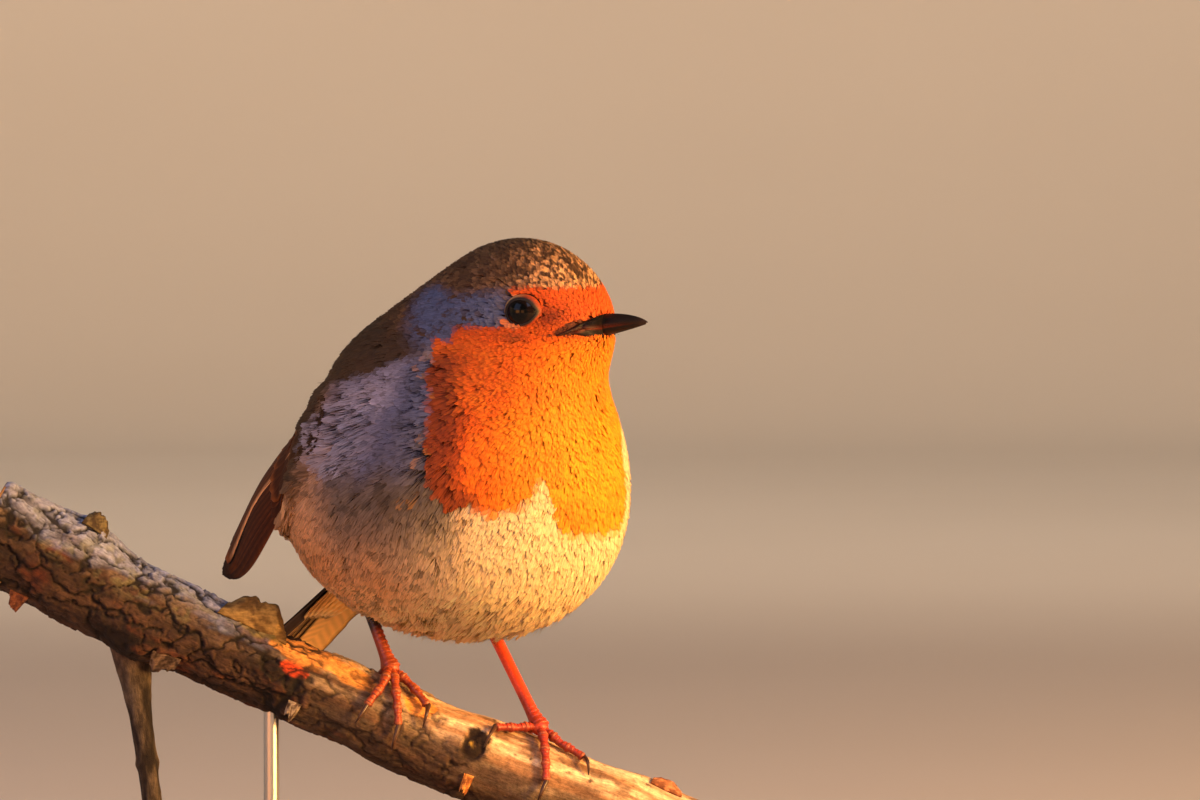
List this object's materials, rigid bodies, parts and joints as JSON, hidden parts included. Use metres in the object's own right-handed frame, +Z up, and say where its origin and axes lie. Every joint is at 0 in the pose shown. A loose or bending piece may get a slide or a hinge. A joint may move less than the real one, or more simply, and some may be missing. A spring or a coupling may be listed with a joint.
{
  "type": "european robin model",
  "caption": "Still life-size European robin with an orange breast, gripping a cut length of branch held by rods on a plain round stand.",
  "frame": {"origin": "centre of the underside of the stand's round base", "axes": "+Z up; the bird's trunk faces -Y and its left side is toward +X"},
  "size_m": [0.1283, 0.1162, 0.139],
  "materials": {
    "plumage_head": "soft olive-brown feathers",
    "plumage_breast": "soft orange-red feathers",
    "plumage_flank": "loose buff and cream feathers",
    "plumage_wing": "smooth brown flight feathers",
    "eye": "glossy, near black",
    "bill": "dark satin horn",
    "leg": "reddish scaled skin",
    "claw": "dark horn",
    "bark": "weathered bark",
    "stand": "satin dark paint on wood",
    "rod": "brushed"
  },
  "bodies": {
    "root": {"head": "plumage_head", "neck": "plumage_breast", "trunk": "plumage_flank", "eye_left": "eye", "eye_right": "eye", "bill_upper": "bill", "bill_lower": "bill", "wing_left_coverts": "plumage_wing", "wing_left_secondaries": "plumage_wing", "wing_left_primaries": "plumage_wing", "wing_right_coverts": "plumage_wing", "wing_right_secondaries": "plumage_wing", "wing_right_primaries": "plumage_wing", "tail": "plumage_wing", "tarsus_left": "leg", "foot_left": "leg", "claw_left_1": "claw", "claw_left_2": "claw", "claw_left_3": "claw", "claw_left_4": "claw", "tarsus_right": "leg", "foot_right": "leg", "claw_right_1": "claw", "claw_right_2": "claw", "claw_right_3": "claw", "claw_right_4": "claw", "perch": "bark", "perch_twig": "bark", "stand_base": "stand", "stand_rod_1": "rod", "stand_rod_2": "rod"}
  },
  "joints": []
}
